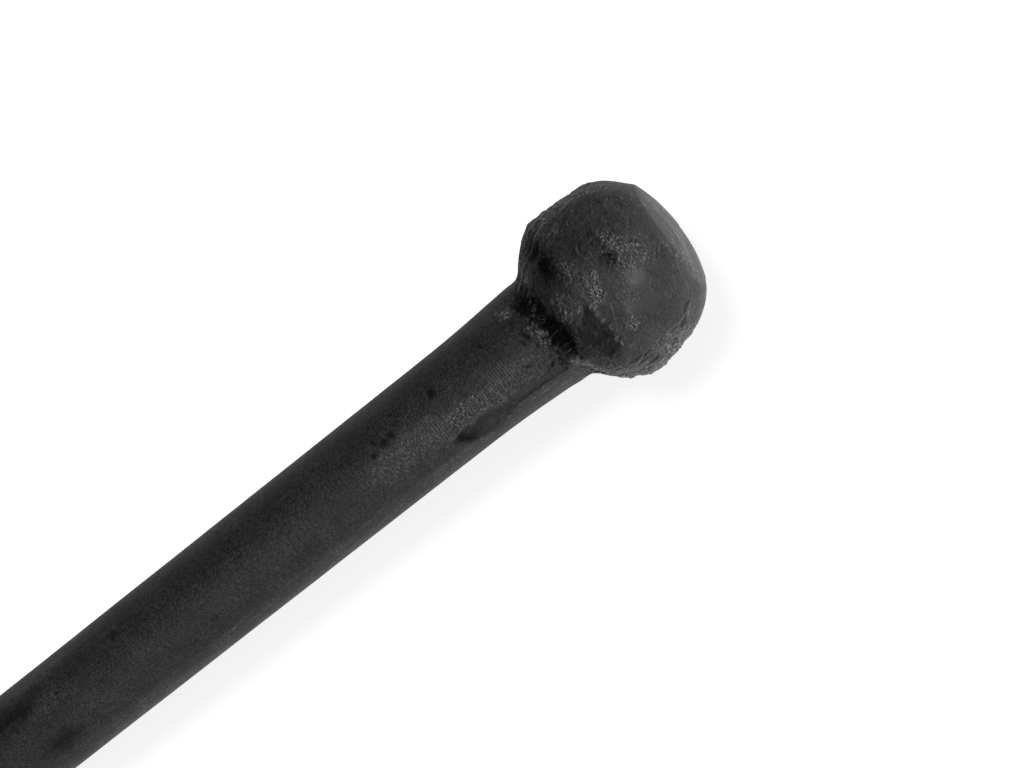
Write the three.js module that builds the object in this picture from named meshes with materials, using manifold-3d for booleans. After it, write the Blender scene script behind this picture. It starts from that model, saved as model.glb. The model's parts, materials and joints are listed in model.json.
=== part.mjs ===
// Forged steel rail bar: a hammered ball with a crowned striking face at one end, a plain round
// shank, and a wedge with ground bevels at the other. One forging, drawn as its forging zones.
// Millimetres, +Z up. The bar lies on the ground along X, on its ball and on the wedge's flat.
import * as THREE from "three";
import { mergeVertices } from "three/addons/utils/BufferGeometryUtils.js";
import Module from "manifold-3d";

const wasm = await Module();
wasm.setup();

// ---- driving dimensions ----
const LENGTH = 1000;             // whole bar, striking face to cutting edge
const SHANK_R = 15;              // 30 mm round bar
const BALL_R = 26.1;             // at the widest part of the ball
const NECK_R = 16.2;             // where the flared neck meets the ball
const JOIN_GAP = 0.3;            // between neighbouring zones of the forging
const AROUND = 64;               // segments around a round zone

// stations along the bar's own axis, measured back from the striking face
const BALL_WIDEST = 25.3;
const BALL_BACK = 44.2;
const NECK_END = 78;
const SHANK_END = 800;
const TAPER_END = 890;
const WEDGE_END = 986;

// the ball's striking face
const FACE_FLAT_R = 7;           // flat middle of the crowned face
const FACE_EDGE_R = 15.9;        // where the crown turns over into the ball
const CROWN_HEIGHT = 2.15;

// the flattened end
const WEDGE_CORNER_R = 19;       // round envelope left on the corners of the flats
const WAIST_HALF_WIDTH = 14.4;   // where the flats are deepest into the round
const EDGE_HALF_WIDTH = 17.5;    // the blade spreads towards its edge
const BEVEL_HALF_THICKNESS = 4.2;
const EDGE_HALF_THICKNESS = 1;

// the flats slope just enough for the bar to lie level on its ball and on the flat
const FLAT_SLOPE = (BALL_R - SHANK_R) / (SHANK_END - BALL_WIDEST);
const flatHalfThickness = (station) => SHANK_R - (station - SHANK_END) * FLAT_SLOPE;
const LIE_ANGLE = Math.atan(FLAT_SLOPE);

const paint = (color) => new THREE.MeshStandardMaterial({ color, roughness: 0.55, metalness: 0.3 });
const bareSteel = new THREE.MeshStandardMaterial({ color: 0x6d6c69, roughness: 0.42, metalness: 0.9 });

// ---- round zones: profiles are [station, radius] pairs from one end to the other ----

function turned(name, profile, material) {
  const points = profile.map(([station, radius]) => new THREE.Vector2(radius, -station));
  points.sort((a, b) => a.y - b.y);
  const ends = [new THREE.Vector2(0, points[0].y), new THREE.Vector2(0, points.at(-1).y)];
  const outline = [ends[0], ...points, ends[1]];
  const mesh = new THREE.Mesh(new THREE.LatheGeometry(outline, AROUND), material);
  mesh.name = name;
  mesh.rotation.z = -Math.PI / 2;        // the lathe's axis becomes the bar's axis
  return mesh;
}

function ballProfile() {
  const crown = [[0, FACE_FLAT_R], [CROWN_HEIGHT * 0.4, 11.6], [CROWN_HEIGHT, FACE_EDGE_R]];
  const curve = new THREE.SplineCurve([
    new THREE.Vector2(CROWN_HEIGHT, FACE_EDGE_R),
    new THREE.Vector2(8.2, 21.9),
    new THREE.Vector2(18.8, 25.3),
    new THREE.Vector2(BALL_WIDEST, BALL_R),
    new THREE.Vector2(31.8, 25.3),
    new THREE.Vector2(37.5, 21.4),
    new THREE.Vector2(BALL_BACK, NECK_R),
  ]);
  const body = curve.getPoints(24).slice(1).map((point) => [point.x, point.y]);
  return [...crown, ...body];
}

function neckProfile() {
  const start = BALL_BACK + JOIN_GAP;
  const steps = 8;
  const profile = [];
  for (let step = 0; step <= steps; step += 1) {
    const along = step / steps;
    const flare = (NECK_R - SHANK_R) * (1 - along) ** 2;
    profile.push([start + along * (NECK_END - start), SHANK_R + flare]);
  }
  return profile;
}

// ---- the flattened end: a side outline and a plan outline, kept inside a round envelope ----

function toManifold(geometry) {
  const bare = geometry.index ? geometry.toNonIndexed() : geometry.clone();
  bare.deleteAttribute("normal");
  bare.deleteAttribute("uv");
  const merged = mergeVertices(bare, 1e-4);
  const vertProperties = new Float32Array(merged.attributes.position.array);
  const triVerts = new Uint32Array(merged.index.array);
  return new wasm.Manifold(new wasm.Mesh({ numProp: 3, vertProperties, triVerts }));
}

function toGeometry(solid) {
  const mesh = solid.getMesh();
  const geometry = new THREE.BufferGeometry();
  geometry.setAttribute("position", new THREE.BufferAttribute(mesh.vertProperties, 3));
  geometry.setIndex(new THREE.BufferAttribute(mesh.triVerts, 1));
  const faceted = geometry.toNonIndexed();
  faceted.computeVertexNormals();
  return faceted;
}

// a symmetric outline given as [station, half size] pairs, extruded to both sides
function extrudedOutline(halves, reach) {
  const upper = halves.map(([station, half]) => new THREE.Vector2(-station, half));
  const lower = halves.map(([station, half]) => new THREE.Vector2(-station, -half)).reverse();
  const shape = new THREE.Shape([...upper, ...lower]);
  const geometry = new THREE.ExtrudeGeometry(shape, { depth: 2 * reach, bevelEnabled: false });
  geometry.translate(0, 0, -reach);
  return geometry;
}

function flattenedEnd() {
  const side = extrudedOutline([
    [SHANK_END, SHANK_R],
    [TAPER_END, flatHalfThickness(TAPER_END)],
    [WEDGE_END, BEVEL_HALF_THICKNESS],
    [LENGTH, EDGE_HALF_THICKNESS],
  ], 40);
  side.rotateX(Math.PI / 2);
  const plan = extrudedOutline([
    [SHANK_END, SHANK_R],
    [TAPER_END, WAIST_HALF_WIDTH],
    [LENGTH, EDGE_HALF_WIDTH],
  ], 40);
  const envelope = new THREE.LatheGeometry([
    new THREE.Vector2(0, -LENGTH - 1),
    new THREE.Vector2(WEDGE_CORNER_R, -LENGTH - 1),
    new THREE.Vector2(WEDGE_CORNER_R, -TAPER_END),
    new THREE.Vector2(SHANK_R, -SHANK_END),
    new THREE.Vector2(0, -SHANK_END),
  ], AROUND);
  envelope.rotateZ(-Math.PI / 2);
  return toManifold(side).intersect(toManifold(plan)).intersect(toManifold(envelope));
}

const endBlank = flattenedEnd();

function slicedZone(name, from, to, material) {
  const slab = new THREE.BoxGeometry(to - from, 100, 100);
  slab.translate(-(from + to) / 2, 0, 0);
  const mesh = new THREE.Mesh(toGeometry(endBlank.intersect(toManifold(slab))), material);
  mesh.name = name;
  return mesh;
}

// ---- the bar, on its own axis, with its striking face at x = 0 ----

const bar = new THREE.Group();
bar.add(turned("ball_head", ballProfile(), paint(0x222222)));
bar.add(turned("neck", neckProfile(), paint(0x252525)));
bar.add(turned("shank", [[NECK_END + JOIN_GAP, SHANK_R], [SHANK_END, SHANK_R]], paint(0x232323)));
bar.add(slicedZone("square_taper", SHANK_END + JOIN_GAP, TAPER_END, paint(0x272727)));
bar.add(slicedZone("wedge", TAPER_END + JOIN_GAP, WEDGE_END, paint(0x2a2a2a)));
bar.add(slicedZone("cutting_edge", WEDGE_END + JOIN_GAP, LENGTH + 1, bareSteel));

// ---- lying on the ground, with the middle of its length over the origin ----

bar.rotation.y = -LIE_ANGLE;
const faceAxisHeight = BALL_R / Math.cos(LIE_ANGLE) + BALL_WIDEST * Math.sin(LIE_ANGLE);
bar.position.set(0, 0, faceAxisHeight);

const object = new THREE.Group();
object.add(bar);
object.updateMatrixWorld(true);
const box = new THREE.Box3().setFromObject(object, true);
object.position.x = -(box.min.x + box.max.x) / 2;

export default object;
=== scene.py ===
"""Looks of the ball-ended forged rail bar: hammered ball, flared neck, round shank and chisel wedge.

Each forging zone of the CAD frame is replaced by a dense mesh of the same zone. All of them are cut from
one continuous surface, so that the zones meet without a step. Lengths along and across the bar are in
millimetres; `station` is measured back from the striking face, and angles round the bar from the side the
camera sees.
"""
import json
import math

import bpy
import numpy as np
from mathutils import Matrix, Vector


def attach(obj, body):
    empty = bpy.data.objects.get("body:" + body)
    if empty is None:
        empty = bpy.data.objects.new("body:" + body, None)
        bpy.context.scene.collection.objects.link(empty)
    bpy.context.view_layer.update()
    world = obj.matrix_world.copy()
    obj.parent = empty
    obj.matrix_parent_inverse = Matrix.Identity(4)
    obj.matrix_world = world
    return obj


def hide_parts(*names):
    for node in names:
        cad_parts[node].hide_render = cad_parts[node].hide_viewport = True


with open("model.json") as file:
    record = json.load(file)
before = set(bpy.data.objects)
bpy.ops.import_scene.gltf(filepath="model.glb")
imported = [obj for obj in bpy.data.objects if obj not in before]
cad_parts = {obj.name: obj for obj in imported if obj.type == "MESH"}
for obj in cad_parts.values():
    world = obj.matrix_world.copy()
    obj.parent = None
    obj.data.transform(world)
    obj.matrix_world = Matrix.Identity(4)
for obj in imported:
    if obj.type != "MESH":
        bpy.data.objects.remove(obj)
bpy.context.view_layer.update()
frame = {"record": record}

MM = 0.001
scene = bpy.context.scene

# ------------------------ the bar's own axes, from the frame

face_mount = next(m for m in frame["record"]["mounts"] if m["name"] == "striking_face")
FACE = Vector(face_mount["pos_m"])
AXIS = Vector(face_mount["axis"]).normalized()     # towards the ball
SIDE = Vector((0, -1, 0))
UP = SIDE.cross(AXIS)

# ------------------------ camera

CAMERA_SIDE = math.radians(12)       # how far the camera leans from above the bar to its -Y side
CAMERA_TILT = math.radians(13)       # how much the ball end points at the camera
BAR_SLOPE_IN_VIEW = math.radians(38.1)
CAMERA_DISTANCE = 640                # to the middle of the ball
BALL_MIDDLE = 22.6                   # station
BALL_RIGHT, BALL_ABOVE = 27.2, 28.33  # where the ball's middle stands from the middle of the view
LENS = 83.5


def make_camera():
    across = UP * math.cos(CAMERA_SIDE) + SIDE * math.sin(CAMERA_SIDE)
    back = AXIS * math.sin(CAMERA_TILT) + across * math.cos(CAMERA_TILT)
    lower = SIDE * math.cos(CAMERA_SIDE) - UP * math.sin(CAMERA_SIDE)
    along = (AXIS - back * math.sin(CAMERA_TILT)).normalized()
    right = along * math.cos(BAR_SLOPE_IN_VIEW) + lower * math.sin(BAR_SLOPE_IN_VIEW)
    up = along * math.sin(BAR_SLOPE_IN_VIEW) - lower * math.cos(BAR_SLOPE_IN_VIEW)
    ball = FACE - AXIS * BALL_MIDDLE * MM
    place = ball + (back * CAMERA_DISTANCE - right * BALL_RIGHT - up * BALL_ABOVE) * MM
    data = bpy.data.cameras.new("camera")
    data.lens = LENS
    data.sensor_width = 36
    data.clip_start = 0.02
    data.clip_end = 50
    camera = bpy.data.objects.new("camera", data)
    scene.collection.objects.link(camera)
    turn = Matrix((right, up, back)).transposed().to_4x4()
    camera.matrix_world = Matrix.Translation(place) @ turn
    scene.camera = camera


make_camera()

# ------------------------ noise


def lattice(ix, iy, iz, seed):
    """A fixed pseudo-random value from -1 to 1 for each whole-number point."""
    h = ix.astype(np.uint32) * np.uint32(374761393)
    h = h + iy.astype(np.uint32) * np.uint32(668265263)
    h = h + iz.astype(np.uint32) * np.uint32(2246822519)
    h = h + np.uint32((seed * 3266489917) & 0xFFFFFFFF)
    h = (h ^ (h >> np.uint32(13))) * np.uint32(1274126177)
    h = h ^ (h >> np.uint32(16))
    return (h & np.uint32(0xFFFFFF)).astype(np.float64) / 0x7FFFFF - 1


def noise(points, size, seed):
    """Smooth noise from about -1 to 1 whose features are about `size` mm across."""
    spot = points @ NOISE_TURN.T / size + seed * 17.31
    cell = np.floor(spot).astype(np.int64)
    f = spot - cell
    f = f * f * f * (f * (f * 6 - 15) + 10)
    total = 0
    for corner in range(8):
        dx, dy, dz = corner & 1, corner >> 1 & 1, corner >> 2 & 1
        weight = (f[..., 0] if dx else 1 - f[..., 0])
        weight = weight * (f[..., 1] if dy else 1 - f[..., 1])
        weight = weight * (f[..., 2] if dz else 1 - f[..., 2])
        total = total + weight * lattice(cell[..., 0] + dx, cell[..., 1] + dy, cell[..., 2] + dz, seed)
    return total


def layered(points, size, seed, layers=3, fade=0.5):
    """Noise with finer and fainter layers on top."""
    total, strength, reach = 0, 1, 0
    for layer in range(layers):
        total = total + strength * noise(points, size / 2 ** layer, seed + layer)
        reach += strength
        strength *= fade
    return total / reach


NOISE_TURN = np.array(Matrix.Rotation(0.7, 3, Vector((1, 2, 3)).normalized()))


def ramp(value, low, high):
    """0 below low, 1 above high, smooth between; low may be the larger."""
    t = np.clip((value - low) / (high - low), 0, 1)
    return t * t * (3 - 2 * t)


# ------------------------ the plain shape of the bar

SHANK_R = 15
NECK_JOIN = 44.25                    # stations where one zone meets the next
SHANK_JOIN = 78.15
TAPER_JOIN = 800.15
WEDGE_JOIN = 890.15
EDGE_JOIN = 986.15
LENGTH = 1000
FACE_CROWN_R = 60                    # sphere radius of the striking face
FACE_EDGE_R = 15.9

# radius of the ball and the neck by station, behind the striking face's edge: the photo's outline, measured
# at even steps along the ball and corrected
BALL_PROFILE = [
    (3.7, 17.6), (6.5, 20.4), (9.2, 22.4), (11.9, 23.8), (14.5, 24.6), (17.2, 24.95), (19.9, 25.6),
    (22.6, 26.0), (25.3, 26.1), (28.0, 26.05), (30.7, 25.8), (33.4, 24.6), (36.0, 22.9), (38.8, 20.7),
    (41.5, 18.1), (43.7, 16.35), (44.6, 16.15), (46.9, 16.08), (49.6, 15.9), (55, 15.64), (60, 15.38),
    (66, 15.16), (72, 15.04), (79, SHANK_R), (95, SHANK_R),
]


def smooth_through(points, per_span=24):
    """A centripetal Catmull-Rom curve through the points."""
    p = np.array(points, float)
    p = np.vstack([2 * p[0] - p[1], p, 2 * p[-1] - p[-2]])
    out = [p[1]]
    for i in range(1, len(p) - 2):
        p0, p1, p2, p3 = p[i - 1:i + 3]
        t0, t1 = 0, np.linalg.norm(p1 - p0) ** 0.5
        t2 = t1 + np.linalg.norm(p2 - p1) ** 0.5
        t3 = t2 + np.linalg.norm(p3 - p2) ** 0.5
        for t in np.linspace(t1, t2, per_span + 1)[1:]:
            a1 = (t1 - t) / (t1 - t0) * p0 + (t - t0) / (t1 - t0) * p1
            a2 = (t2 - t) / (t2 - t1) * p1 + (t - t1) / (t2 - t1) * p2
            a3 = (t3 - t) / (t3 - t2) * p2 + (t - t2) / (t3 - t2) * p3
            b1 = (t2 - t) / (t2 - t0) * a1 + (t - t0) / (t2 - t0) * a2
            b2 = (t3 - t) / (t3 - t1) * a2 + (t - t1) / (t3 - t1) * a3
            out.append((t2 - t) / (t2 - t1) * b1 + (t - t1) / (t2 - t1) * b2)
    return np.array(out)


def full_profile():
    """(along, station, radius) from the middle of the striking face to the far end of the bar."""
    crown_r = np.linspace(0, FACE_EDGE_R, 60)
    crown = np.stack([FACE_CROWN_R - np.sqrt(FACE_CROWN_R ** 2 - crown_r ** 2), crown_r], 1)
    behind = smooth_through([tuple(crown[-1])] + BALL_PROFILE)
    rest = np.array([(LENGTH + 30, SHANK_R)])
    curve = rounded(np.vstack([crown, behind[1:]]), len(crown) - 1)
    curve = np.vstack([curve, rest])
    along = np.concatenate([[0], np.cumsum(np.linalg.norm(np.diff(curve, axis=0), axis=1))])
    return along, curve[:, 0], curve[:, 1]


def rounded(curve, corner, reach=0.6, step=0.1):
    """The curve with the corner at that point worn round."""
    along = np.concatenate([[0], np.cumsum(np.linalg.norm(np.diff(curve, axis=0), axis=1))])
    even = np.arange(along[corner] - 2 * reach, along[corner] + 2 * reach, step)
    dense = np.stack([np.interp(even, along, curve[:, k]) for k in (0, 1)], 1)
    width = round(reach / step)
    soft = np.stack([np.convolve(dense[:, k], np.full(width, 1 / width), "valid") for k in (0, 1)], 1)
    middle = even[width // 2:width // 2 + len(soft)]
    before, after = curve[along < middle[0]], curve[along > middle[-1]]
    return np.vstack([before, soft, after])


ALONG, STATION, RADIUS = full_profile()


def along_of(station):
    """Distance along the surface from the middle of the striking face, behind the face's edge."""
    return float(np.interp(station, STATION, ALONG))


NECK_SKEW = 2.2                      # how much nearer the face the ball ends on the camera's side
FRONT_OFF_CENTRE = 0.4

# the flattened end, as in the frame: side and plan half sizes inside a round envelope
FLATS_FROM = 800                     # stations
WEDGE_FROM = 890
BEVEL_FROM = 986
FLAT_SLOPE = AXIS.z / AXIS.x
WAIST = SHANK_R - (WEDGE_FROM - FLATS_FROM) * FLAT_SLOPE


def half_thickness(station):
    stations = [FLATS_FROM, WEDGE_FROM, BEVEL_FROM, 999.3, LENGTH]
    return np.interp(station, stations, [SHANK_R, WAIST, 4.2, 1.0, 0.55])


def half_width(station):
    return np.interp(station, [FLATS_FROM, WEDGE_FROM, LENGTH], [SHANK_R, 14.4, 17.5])


def envelope(station):
    return np.interp(station, [FLATS_FROM, WEDGE_FROM], [SHANK_R, 19])


def flattened_section(station, angle):
    """Across and up offsets of the flattened end at these stations and angles."""
    thick, wide, round_r = half_thickness(station), half_width(station), envelope(station)
    soft = 0.02 + 0.9 * ramp(station, FLATS_FROM, 880) - 0.75 * ramp(station, 960, 992)
    across, up = wide * np.sin(angle), thick * np.cos(angle)
    low, high = np.full(angle.shape, 0.5), np.full(angle.shape, 1.6)
    for _ in range(26):
        mid = (low + high) / 2
        y, z = across * mid, up * mid
        walls = np.stack([np.abs(z) - thick, np.abs(y) - wide, np.hypot(y, z) - round_r])
        top = walls.max(0)
        outside = top + soft * np.log(np.exp((walls - top) / soft).sum(0)) > 0
        high = np.where(outside, mid, high)
        low = np.where(outside, low, mid)
    return across * mid, up * mid


def plain_surface(along, angle):
    """(station, across, up) in mm for a grid of distances along the bar and angles round it."""
    station = np.interp(along, ALONG, STATION)
    radius = np.interp(along, ALONG, RADIUS)
    across, up = radius * np.sin(angle), radius * np.cos(angle)
    facing = 0.5 + 0.5 * np.cos(angle - CAMERA_SIDE)
    station = station - NECK_SKEW * facing ** 1.5 * np.exp(-((station - NECK_JOIN) / 6) ** 2)
    front = FRONT_OFF_CENTRE * ramp(station, 24, 10)
    across, up = across - front * math.cos(CAMERA_SIDE), up + front * math.sin(CAMERA_SIDE)
    flat = station > FLATS_FROM
    if flat.any():
        across[flat], up[flat] = flattened_section(station[flat], angle[flat])
    return np.stack([station, across, up], -1)


def grid_normals(grid):
    """Outward normals of a grid that closes on itself round the bar."""
    d_along = np.gradient(grid, axis=0)
    d_round = np.roll(grid, -1, 1) - np.roll(grid, 1, 1)
    n = np.cross(d_along, d_round)
    length = np.linalg.norm(n, axis=-1, keepdims=True)
    return n / np.maximum(length, 1e-12)


# ------------------------ marks that the forging left, and painted shade


def seen_station(points):
    """The station of the bar's axis that each point hides or stands over in the camera's view."""
    behind_ball = points[..., 0] - BALL_MIDDLE
    facing = points[..., 1] * math.sin(CAMERA_SIDE) + points[..., 2] * math.cos(CAMERA_SIDE)
    along = -behind_ball * math.cos(CAMERA_TILT) - facing * math.sin(CAMERA_TILT)
    nearer = -behind_ball * math.sin(CAMERA_TILT) + facing * math.cos(CAMERA_TILT)
    ball_along = BALL_RIGHT * math.cos(BAR_SLOPE_IN_VIEW) + BALL_ABOVE * math.sin(BAR_SLOPE_IN_VIEW)
    return BALL_MIDDLE + ball_along - (ball_along + along) / (1 - nearer / CAMERA_DISTANCE)


SLANT_SPREAD = 22                    # degrees by which single strokes stray from their slant


def turned(a, b, slant):
    """Offsets along and across a direction at that slant, in degrees, from the bar's length."""
    turn = np.radians(slant)
    return a * np.cos(turn) + b * np.sin(turn), b * np.cos(turn) - a * np.sin(turn)


def add(marks, field, **amounts):
    """Adds the field to each of the named marks, times its amount."""
    for name, amount in amounts.items():
        marks[name] += amount * field


class Surface:
    """Points of the plain surface, each with a station and an angle from the side the camera sees.

    Marks near the ball are placed as the camera sees them, so there the station is the one that seems to
    lie at the point; true_station is measured along the bar. The places of those that the photo shows were
    read off it, and the others are made up.
    """

    def __init__(self, points, angle, as_seen):
        self.points = points
        self.true_station = points[..., 0]
        self.station = seen_station(points) if as_seen else self.true_station
        self.radius = np.hypot(points[..., 1], points[..., 2])
        self.angle = (angle - CAMERA_SIDE + math.pi) % (2 * math.pi) - math.pi
        self.degrees = np.degrees(self.angle)
        self.on_ball = ramp(self.true_station, 44.2, 42.5)
        self.rag_along = noise(points, 1.9, 71) + 0.5 * noise(points, 0.9, 72)
        self.rag_round = noise(points, 1.9, 73) + 0.5 * noise(points, 0.9, 74)

    def round_from(self, degrees):
        """Millimetres round the bar from that angle."""
        turn = (self.angle - math.radians(degrees) + math.pi) % (2 * math.pi) - math.pi
        return turn * self.radius

    def patch(self, station, degrees, length, width, edge=0.3, ragged=0.0, slant=0.0):
        """1 inside an oval of that length and width in mm, 0 outside, with a soft or ragged edge."""
        a = self.station - station + ragged * self.rag_along
        b = self.round_from(degrees) + ragged * self.rag_round
        along, across = turned(a, b, slant)
        return ramp(np.hypot(along / (length / 2), across / (width / 2)), 1 + edge, 1 - edge)

    def strokes(self, seed, count, stations, degrees, length, width, slant=0.0, ragged=0.15):
        """Many short lines within those bounds, at about that slant from the bar's length.

        It is 1 on each line and 0 beside it.
        """
        random = np.random.default_rng(seed)
        field = np.zeros(self.station.shape)
        row_low, row_high = self.station.min(1), self.station.max(1)
        for _ in range(count):
            station, at = random.uniform(*stations), random.uniform(*degrees)
            half = length * random.uniform(0.3, 0.8)
            own_slant = slant + random.normal(0, SLANT_SPREAD)
            rows = (row_low < station + half + 2) & (row_high > station - half - 2)
            if not rows.any():
                continue
            a = self.station[rows] - station + ragged * self.rag_along[rows]
            b = self.round_from(at)[rows] + ragged * self.rag_round[rows]
            along, across = turned(a, b, own_slant)
            stroke = np.exp(-(across / width) ** 2) * ramp(np.abs(along), half * 1.2, half * 0.5)
            field[rows] = np.maximum(field[rows], stroke)
        return field

    def combed(self, degrees, size, stretch, slant, seed):
        """Noise drawn out into lines at that slant from the bar's length."""
        along, across = turned(self.station, self.round_from(degrees), slant)
        return noise(np.stack([along / stretch, across, 0 * across], -1), size, seed)

    def inside(self, corners, edge=0.5, ragged=0.4):
        """1 inside a convex outline of (station, degrees) corners; degrees grow along its face side."""
        field = 1
        for (s0, d0), (s1, d1) in zip(corners, corners[1:] + corners[:1]):
            a = self.station - s0 + ragged * self.rag_along
            b = self.round_from(d0) + ragged * self.rag_round
            step_along, step_round = s1 - s0, math.radians(d1 - d0) * self.radius
            depth = (a * step_round - b * step_along) / np.hypot(step_along, step_round)
            field = field * ramp(depth, -edge, edge)
        return field

    def line(self, route, width, ragged=0.3):
        """1 on a line through (station, degrees) points, falling to 0 over the width in mm."""
        near = np.full(self.station.shape, 1e9)
        a = self.station + ragged * self.rag_along
        for (s0, d0), (s1, d1) in zip(route, route[1:]):
            b0 = self.round_from(d0) + ragged * self.rag_round
            step_round = math.radians(d1 - d0) * self.radius
            length = (s1 - s0) ** 2 + step_round ** 2
            t = np.clip(((a - s0) * (s1 - s0) + b0 * step_round) / length, 0, 1)
            near = np.minimum(near, np.hypot(a - s0 - t * (s1 - s0), b0 - t * step_round))
        return np.exp(-(near / width) ** 2)


# flats beaten on the ball: degrees from the camera's side, tilt from square in degrees, distance from the
# ball's middle, softness of the edge
BALL_FLATS = [
    (-88, 2, 25.9, 0.5), (-43, -2, 25.1, 0.4), (4, 6, 25.5, 0.8), (48, 2, 25.7, 0.7), (95, 3, 26.2, 0.5),
    (140, -4, 25.4, 0.6), (-138, 5, 25.4, 0.6),
    (-22, -40, 24.5, 0.6), (22, -38, 23.5, 0.35), (120, -40, 24.3, 0.6), (-165, -38, 24.3, 0.6),
    (-40, 24, 25.3, 0.5), (60, 42, 24.9, 0.6), (125, 40, 24.6, 0.7), (-130, 44, 24.6, 0.7),
]


def beat_flats(points):
    """Presses each of the ball's flats into the plain surface."""
    middle = np.array([BALL_MIDDLE, 0, 0])
    points = points.copy()
    near_ball = ramp(points[..., 0], 44, 41)
    for degrees, tilt, distance, soft in BALL_FLATS:
        turn, lean = CAMERA_SIDE + math.radians(degrees), math.radians(tilt)
        out = np.array([-math.sin(lean), math.cos(lean) * math.sin(turn), math.cos(lean) * math.cos(turn)])
        over = (points - middle) @ out - distance
        push = soft * np.logaddexp(0, over / soft) * near_ball
        points -= push[..., None] * out
    return points


def ball_marks(surf, marks):
    """Everything that the forging and its use left on the ball, and painted shade in its hollows, grooves
    and flat.
    """
    ball_blows(surf, marks)
    flat = smooth_flat(surf, marks)
    hollow_near_neck(surf, marks)
    scaly_places(surf, marks, flat)
    wrinkles_and_folds(surf, marks)
    parting_flash(surf, marks)
    creases_and_nicks(surf, marks)


def ball_blows(surf, marks):
    """The hammer's blows all over the ball, and the drawn grain of its striking face."""
    p = surf.points
    on_side = ramp(surf.true_station, 2.6, 4.2)
    blows = 0.22 * layered(p, 12, 1, 2) + 0.05 * layered(p, 4.5, 3, 2)
    streaks = 0.07 * layered(p, 6, 5, 2) + 0.06 * layered(p * FACE_STREAKS, 1.2, 6, 3)
    marks["out"] += surf.on_ball * (on_side * blows + (1 - on_side) * streaks)
    face_grain = (1 - on_side) * ramp(layered(p * FACE_STREAKS, 2.4, 16, 3), -0.1, 0.5)
    add(marks, face_grain, rough=0.8, worn=0.2)
    marks["calm"] += 0.7 * (1 - on_side)


def smooth_flat(surf, marks):
    """The smooth flat behind the middle of the ball, under a sharp ridge with bright flecks."""
    flat = surf.inside([(33.2, 2), (30.6, 31), (36, 43), (40.6, 18)])
    marks["calm"] += 0.8 * flat
    # the flat's darkening is painted shade: it stands in for the dark that the smooth flat mirrors
    marks["dark"] += 0.5 * flat * (1 + 0.3 * surf.rag_along)
    marks["out"] -= 0.3 * flat
    bulge = surf.patch(27.5, 88, 8, 16, 0.8)
    bulge = bulge - surf.patch(32.8, 88, 3.5, 14, 0.8) - surf.patch(40.2, 90, 5, 18, 0.8)
    marks["out"] += 0.45 * bulge
    ridge = surf.line([(30.2, -1), (31.5, 9), (31.9, 17), (31.6, 26), (31.2, 36), (29.6, 45)], 0.38, 0.35)
    flecks = surf.strokes(101, 18, (30.8, 32.2), (4, 38), 1.0, 0.13, 60)
    marks["out"] += 0.14 * ridge + 0.1 * flecks
    marks["worn"] += 0.45 * ridge * ramp(surf.rag_along, -0.2, 0.6)
    marks["bright"] += 0.5 * flecks
    return flat


def hollow_near_neck(surf, marks):
    """A hollow on the far shoulder, with scratches across it; the hollow's darkening and the shadow beside
    it are painted shade.
    """
    hollow = surf.patch(34.9, -40, 4.6, 15.5, 0.9, 0.9, slant=7)
    # the hollow is darkened as well as pressed in: painted shade
    add(marks, hollow, out=-0.9, dark=0.75)
    scratches = surf.strokes(102, 9, (32.6, 38.6), (-62, -24), 2.6, 0.16, -20)
    add(marks, scratches, out=0.14, bright=0.14)
    # a painted shadow beside the hollow
    shadow = surf.patch(36.2, -29, 7.5, 10, 0.8, 1.0)
    marks["dark"] += 0.45 * shadow


# scale left on the ball: station, degrees, length, width, strength
SCALY_PLACES = [
    (17, -21, 4, 5, 0.8), (15.2, -4, 11, 9, 0.55), (27.5, -6, 4.5, 5, 0.8), (28.6, 2, 4.5, 4.5, 1),
    (25.8, 29, 3.4, 3.6, 1), (37.6, -4, 6.5, 9, 0.6), (22, 14, 8, 6, 0.25), (31.5, -20, 6, 9, 0.6),
    (20.3, 72, 10, 9, 0.8), (24, 58, 5, 7, 0.6), (21.5, -76, 24, 11, 0.6), (37, 60, 7, 12, 0.7),
    (26, 86, 22, 7, 1), (18, 118, 9, 14, 0.7), (28, 150, 12, 10, 0.7), (16, -140, 10, 12, 0.7),
    (33, -115, 9, 12, 0.7), (25, -170, 8, 12, 0.7),
]

# loose flakes: between these stations, between these degrees, how many
FLAKES = [
    ((15, 19), (-27, -15), 9), ((25.4, 29.8), (-12, -1), 12), ((26.6, 30.6), (-3, 7), 18),
    ((24.2, 27.4), (25, 33), 16), ((35, 40.5), (-16, 8), 22), ((9, 22), (-16, 8), 12),
    ((12, 36), (68, 96), 130), ((28, 42), (50, 82), 30), ((6, 36), (-90, -62), 150),
    ((17, 23), (54, 80), 26),
]
# smooth drips of lacquer: station, degrees, length, width
DRIPS = [(17.2, 8, 4.5, 5), (18.5, 27, 5.5, 5), (29.5, 27, 3, 4), (22.8, 20, 4, 4.5)]


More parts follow.
